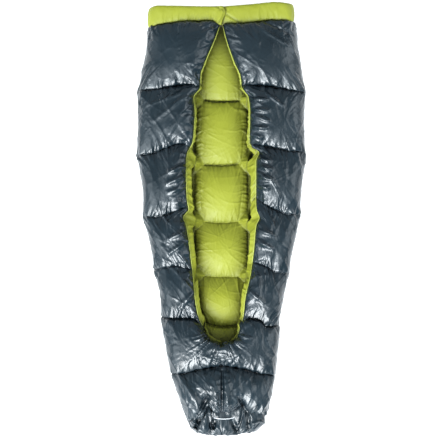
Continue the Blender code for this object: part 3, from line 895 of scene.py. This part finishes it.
shells = chamber_pieces("shell", shell_start, shell_pins, shell_chamber)
linings = chamber_pieces("lining", lining_start, lining_pins, lining_chamber,
                         gather=1.10, ease=1.05, pressure=4.0)
results = simulate([piece for _, piece in shells + linings])
shell_points = shell_start.copy()
for (rows, _), found in zip(shells, results):
    shell_points[rows] = found.reshape(len(rows), -1, 3)
lining_points = lining_start.copy()
for (rows, _), found in zip(linings, results[len(shells):]):
    lining_points[rows] = found.reshape(len(rows), -1, 3)
shell_points = capped(shell_points, shell_start, 0.03)
shell_points[..., 2] = np.clip(shell_points[..., 2], 0, HIGHEST)
lining_points = lining_start + PUFF_SHARE * (capped(lining_points, lining_start, 0.03) - lining_start)

shell_points = refined(shell_points)
shell_q = doubled(half_columns(SHELL_COLUMNS), 0)
shell_q = np.concatenate([-shell_q[:0:-1], shell_q])
crease = shell_creases(shell_points, grid_rows(2)[0]) * smooth((np.abs(shell_q) - 1) / 0.3)
crease[:, [0, -1]] = 0
shell_points = shell_points - grid_normals(shell_points) * crease[..., None]
shell_points[..., 2] = np.clip(shell_points[..., 2], 0, HIGHEST)
close_joint(shell_points)
folds = placed_folds(shell_points, FRONT_FOLDS) * smooth((np.abs(shell_q) - 1.6) / 0.3)
shell_points[..., 2] = np.minimum(shell_points[..., 2] + folds, HIGHEST)
shell_seams = stitch_lines(shell_points, grid_rows(2)[0], 0.008)
shell_parts = []
for name, columns in (("quilt_left_wing", shell_q <= -1), ("quilt_back", np.abs(shell_q) <= 1),
                      ("quilt_right_wing", shell_q >= 1)):
    part = shell_points[:, columns]
    seams = [values[:, columns] for values in shell_seams]
    shell = finished(name, part, grid_faces(*part.shape[:2])[:, ::-1], shell_nylon, seams)
    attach(shell, "root")
    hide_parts("quilt_body")
    shell_parts.append(shell)
lining_points = doubled(lining_points, 0)
lining_chamber = grid_rows(2)[0]
crease = pillow_combs(lining_points, lining_q, lining_chamber, 51, 0.013, 0.040, 0.0030)
crease += strip_creases(lining_points, lining_q, lining_chamber)
crease[:, [0, -1]] = 0
lining_points = lining_points + grid_normals(lining_points) * crease[..., None]
lining_points = kept_below(lining_points, shell_parts[::2])
lining = finished("quilt_lining", lining_points, grid_faces(*lining_points.shape[:2]), lining_nylon,
                  stitch_lines(lining_points, lining_chamber))
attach(lining, "root")
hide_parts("lining")


def ridden(made, body_node):
    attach(made, "root")
    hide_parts(body_node)
    return made


# ---- Collar ------------------------------------------------------------------------------------
COLLAR_HALF = 0.013  # half its thickness
COLLAR_HEM = 0.010  # how far its sewn line is from its lower edge
COLLAR_FRONT_Z, COLLAR_BACK_Z = 0.098, 0.022
COLLAR_TURN = (0.045, 0.038)
COLLAR_REACH = (0.319, 0.315)
COLLAR_TOP = ((-0.333, 0.943), (-0.292, 0.957), (-0.155, 0.955), (-0.027, 0.953), (0.005, 0.954),
              (0.111, 0.961), (0.190, 0.969), (0.232, 0.973), (0.318, 0.966), (0.334, 0.962))
COLLAR_BOTTOM = ((-0.330, 0.853), (-0.276, 0.873), (-0.213, 0.881), (-0.101, 0.886), (-0.038, 0.884),
                 (0.000, 0.868), (0.016, 0.873), (0.095, 0.875), (0.165, 0.884), (0.212, 0.892),
                 (0.268, 0.891), (0.334, 0.875))
# each front end, bottom to top: (share of the way up, x)
COLLAR_ENDS = (((0, 0.000), (0.3, 0.008), (0.65, 0.020), (1, 0.006)),
               ((0, 0.004), (0.5, -0.006), (1, -0.002)))
# (from, to, half width, depth): folds pinched in where the ends meet
COLLAR_FOLDS = (
    ((0.020, 0.918), (0.074, 0.884), 0.0028, 0.0060),
    ((-0.034, 0.957), (0.016, 0.930), 0.0025, 0.0045),
    ((-0.016, 0.932), (0.014, 0.946), 0.0022, 0.0040),
    ((0.014, 0.918), (-0.018, 0.872), 0.0025, 0.0060),
    ((0.026, 0.930), (0.052, 0.945), 0.0025, 0.0020),
)


def collar_path(steps):
    """(side, x, z, along) down the middle of the band: front left end, round the back, front right end."""
    places = []
    for side, sign in enumerate((-1, 1)):
        turn_x = COLLAR_REACH[side] - COLLAR_TURN[0]
        mid_z = (COLLAR_FRONT_Z + COLLAR_BACK_Z) / 2
        front = np.linspace(0, turn_x, steps, endpoint=False)
        angles = np.linspace(math.pi / 2, -math.pi / 2, steps // 3, endpoint=False)
        back = np.linspace(turn_x, 0, steps // 3)
        x = np.concatenate([front, turn_x + np.cos(angles) * COLLAR_TURN[0], back])
        z = np.concatenate([np.full(steps, COLLAR_FRONT_Z), mid_z + np.sin(angles) * COLLAR_TURN[1],
                            np.full(steps // 3, COLLAR_BACK_Z)])
        fronts = np.concatenate([np.ones(steps), np.maximum(np.sin(angles), 0), np.zeros(steps // 3)])
        places.append(np.stack([sign * x, z, fronts, np.full(len(x), side)]))
    return np.concatenate([places[0], places[1][:, -2::-1]], axis=1)


def collar_points(steps=150, around=40):
    path_x, path_z, front, side = collar_path(steps)
    columns = len(path_x)
    angle = np.linspace(0, 2 * math.pi, around, endpoint=False)[:, None]
    share = (1 - np.cos(angle)) / 2
    x = np.broadcast_to(path_x, (around, columns)).copy()
    end_gap = np.abs(path_x) * front + (1 - front)
    for which in (0, 1):
        shift = curve(COLLAR_ENDS[which], share[:, 0])[:, None]
        x += np.where(side == which, shift * np.exp(-end_gap / 0.03), 0)
    bottom, top = curve(COLLAR_BOTTOM, x), curve(COLLAR_TOP, x)
    y = bottom + (top - bottom) * share
    lap = np.where(side == 0, 0.009, -0.009) * np.exp(-((end_gap / 0.03) ** 2)) * front
    z = path_z + lap - 0.010 * (1 - share) * front
    out_x, out_z = -np.gradient(path_z), np.gradient(path_x)
    size = np.hypot(out_x, out_z)
    out_x, out_z = -out_x / size, -out_z / size
    ends = np.sqrt(np.clip(end_gap / 0.012, 0.02, 1))
    profile = np.sign(np.sin(angle)) * np.abs(np.sin(angle)) ** 0.75
    half = COLLAR_HALF * ends * np.where(front > 0, 1, 0.9)
    along = np.concatenate([[0], np.cumsum(np.hypot(np.diff(path_x), np.diff(path_z)))])
    depth = (top - bottom) * share
    outer = np.clip(np.sin(angle) * 2, 0, 1)
    lift = comb(along, depth, (31, 0, 0), 0.011, 0.016, 0.0022, 1.6)
    lift += comb(along, depth, (32, 0, 0), 0.034, 0.045, 0.0026, 1.8)
    lift += comb(along, top - bottom - depth, (33, 0, 0), 0.050, 0.030, 0.0016)
    lift -= placed_folds(np.stack([x, y], -1), COLLAR_FOLDS) * front
    reach = half * profile + lift * outer
    near = np.clip(1 - np.abs(depth - COLLAR_HEM) / SEAM_REACH, 0, 1)
    points = np.stack([x + out_x * reach, y, z + out_z * reach], -1)
    return points, (near, np.broadcast_to(along, near.shape))


def ring_faces(rows, columns):
    """Faces of a tube whose rows run round it."""
    index = np.arange(rows * columns).reshape(rows, columns)
    index = np.concatenate([index, index[:1]])
    corners = [index[:-1, :-1], index[:-1, 1:], index[1:, 1:], index[1:, :-1]]
    return np.stack(corners, -1).reshape(-1, 4)


collar_grid, collar_seams = collar_points()
collar_grid = collar_grid + 0.0010 * (crumple(collar_grid, 0.03, 1.0, 9) - 0.4)[..., None] * grid_normals(collar_grid)
collar = finished("quilt_collar", collar_grid, ring_faces(*collar_grid.shape[:2]), lining_nylon,
                  collar_seams)
ridden(collar, "collar")


# ---- Foot panel --------------------------------------------------------------------------------
FOOT_CENTRE = (0.015, -0.972, 0.052)
FOOT_SQUARE = 2.4
FOOT_ROWS = 44
FOOT_HEM = 0.005


def foot_points(ring):
    """The panel that closes the foot end: a crumpled dome on the shell's first row."""
    centre = np.array(FOOT_CENTRE)
    angle = np.linspace(0, math.pi / 2, FOOT_ROWS)[:, None, None]
    radial = np.maximum(np.cos(angle), 0) ** (2 / FOOT_SQUARE)
    depth = np.sin(angle) ** (2 / FOOT_SQUARE)
    points = centre + (ring - centre) * np.array([1, 0, 1]) * radial
    points[..., 1] = ring[..., 1] + (centre[1] - ring[..., 1]) * depth[..., 0]
    away = np.cumsum(np.linalg.norm(np.diff(points, axis=0), axis=2), axis=0)
    away = np.concatenate([np.zeros((1, points.shape[1])), away])
    along = np.concatenate([[0], np.cumsum(np.linalg.norm(np.diff(ring, axis=0), axis=1))])
    lift = comb(along, away, (41, 0, 0), 0.052, 0.060, 0.0060, 1.7)
    lift += 0.008 * (crumple(points, 0.085, 1.0, 4) - 0.3) + 0.001 * crumple(points, 0.030, 1.0, 6)
    lift += placed_folds(points, FOOT_FOLDS) * (points[..., 2] > centre[2])
    from_joint = np.minimum(along, along[-1] - along)
    lift *= smooth(away / 0.012) * np.clip(radial[..., 0] * 3, 0, 1) * smooth(from_joint / 0.03)
    points = points + grid_normals(points) * lift[..., None]
    points[..., 2] = np.maximum(points[..., 2], 0)
    points[..., 1] = np.maximum(points[..., 1], FOOT_TIP_Y - 0.008)
    near = np.clip(1 - np.abs(away - FOOT_HEM) / SEAM_REACH, 0, 1)
    return points, (near, np.broadcast_to(along, near.shape))


foot_grid, foot_seams = foot_points(shell_points[0])
foot = finished("quilt_foot", foot_grid, grid_faces(*foot_grid.shape[:2]), shell_nylon, foot_seams)
ridden(foot, "foot_panel")


# ---- Edge binding, and the foot's hem edge with a painted highlight ----------------------------
def tube(name, path, radius, finish, sides=8):
    path = np.asarray(path)
    along = np.gradient(path, axis=0)
    along /= np.linalg.norm(along, axis=1, keepdims=True)
    up = np.array([0.0, 0.0, 1.0])
    aside = np.cross(along, up)
    aside /= np.linalg.norm(aside, axis=1, keepdims=True)
    over = np.cross(aside, along)
    angle = np.linspace(0, 2 * math.pi, sides, endpoint=False)
    ring = aside[:, None] * np.cos(angle)[:, None] + over[:, None] * np.sin(angle)[:, None]
    points = path[:, None] + radius * ring
    index = np.arange(len(path) * sides).reshape(len(path), sides)
    index = np.concatenate([index, index[:, :1]], axis=1)
    corners = [index[:-1, :-1], index[:-1, 1:], index[1:, 1:], index[1:, :-1]]
    faces = np.stack(corners, -1).reshape(-1, 4).tolist()
    faces += [index[0, :-1].tolist(), index[-1, -2::-1].tolist()]
    mesh = bpy.data.meshes.new(name)
    mesh.from_pydata(points.reshape(-1, 3).tolist(), [], faces)
    mesh.shade_smooth()
    mesh.materials.append(finish)
    return new_object(name, mesh)


def opening_path():
    """Up the left wing's edge from the round end, and up the right wing's."""
    left, right = shell_points[:, 0], shell_points[:, -1]
    left, right = left[left[:, 1] > CROTCH_Y], right[right[:, 1] > CROTCH_Y]
    path = np.concatenate([left[::-2], right[::2]])
    path[:, 2] += 0.0015 - ROUND_DROP * round_end(path[:, 1])
    return path


binding = tube("quilt_edge_binding", opening_path(), 0.0023, binding_green)
ridden(binding, "edge_binding")

# The foot's hem edge: a real thin ridge across the middle of the foot, with a pale colour that is a painted highlight
# of the light it catches
HEM_EDGE = dict(middle=(0.012, -0.888), half=0.046, sag=0.006, radius=0.0024)


def hem_edge_path():
    tree = BVHTree.FromObject(foot, bpy.context.evaluated_depsgraph_get())
    path = []
    for share in np.linspace(-1, 1, 24):
        x = HEM_EDGE["middle"][0] + share * HEM_EDGE["half"]
        y = HEM_EDGE["middle"][1] - HEM_EDGE["sag"] * (1 - share * share)
        hit = tree.ray_cast(Vector((x, y, 1)), Vector((0, 0, -1)))[0]
        path.append((x, y, hit.z))
    path = np.array(path)
    path[:, 2] = np.convolve(np.pad(path[:, 2], 3, "edge"), np.full(7, 1 / 7), "valid") + 0.002
    return path


hem_edge = tube("quilt_foot_hem_highlight", hem_edge_path(), HEM_EDGE["radius"], hem_highlight_finish)
ridden(hem_edge, "foot_piping")


# ---- Stage -------------------------------------------------------------------------------------
def add_floor():
    mesh = bpy.data.meshes.new("floor")
    mesh.from_pydata([(-20, -20, 0), (20, -20, 0), (20, 20, 0), (-20, 20, 0)], [], [(0, 1, 2, 3)])
    mesh.materials.append(floor_white)
    floor = new_object("floor", mesh)
    floor.location.z = -0.0005


def add_light(name, place, aim, size, power):
    data = bpy.data.lights.new(name, "AREA")
    data.shape = "RECTANGLE"
    data.size, data.size_y = size
    data.energy = power
    light = new_object(name, data)
    light.location = place
    light.rotation_euler = (Vector(aim) - Vector(place)).to_track_quat("-Z", "Y").to_euler()


def add_camera():
    data = bpy.data.cameras.new("camera")
    data.lens = 120
    camera = new_object("camera", data)
    seen = 1.98
    camera.location = (-0.006, -0.003, 0.06 + seen / 2 / math.tan(data.angle / 2))
    data.clip_end = 50
    bpy.context.scene.camera = camera


def add_world():
    """A dark room with one wide, bright window low at the foot end and a faint glow all round."""
    world = bpy.data.worlds.new("world")
    world.use_nodes = True
    nodes, links = world.node_tree.nodes, world.node_tree.links
    background = nodes["Background"]
    place = nodes.new("ShaderNodeTexCoord")
    glow = background_level(nodes, links, place.outputs["Generated"])
    links.new(glow, background.inputs["Strength"])
    background.inputs["Color"].default_value = (0.86, 0.95, 1.0, 1)
    bpy.context.scene.world = world


def background_level(nodes, links, direction):
    total = None
    for way, inner, outer, level in WINDOWS:
        dot = nodes.new("ShaderNodeVectorMath")
        dot.operation = "DOT_PRODUCT"
        dot.inputs[1].default_value = Vector(way).normalized()
        links.new(direction, dot.inputs[0])
        ramp = nodes.new("ShaderNodeMapRange")
        ramp.interpolation_type = "SMOOTHSTEP"
        ramp.inputs["From Min"].default_value = math.cos(math.radians(outer))
        ramp.inputs["From Max"].default_value = math.cos(math.radians(inner))
        ramp.inputs["To Min"].default_value = 0
        ramp.inputs["To Max"].default_value = level
        links.new(dot.outputs["Value"], ramp.inputs["Value"])
        if total is None:
            total = ramp.outputs["Result"]
            continue
        both = nodes.new("ShaderNodeMath")
        links.new(total, both.inputs[0])
        links.new(ramp.outputs["Result"], both.inputs[1])
        total = both.outputs[0]
    return total


add_floor()
add_light("softbox", (-0.75, -2.1, 1.75), (0, -0.35, 0.05), (1.5, 0.9), 65)
add_camera()
add_world()
bpy.context.scene.view_settings.view_transform = "Standard"
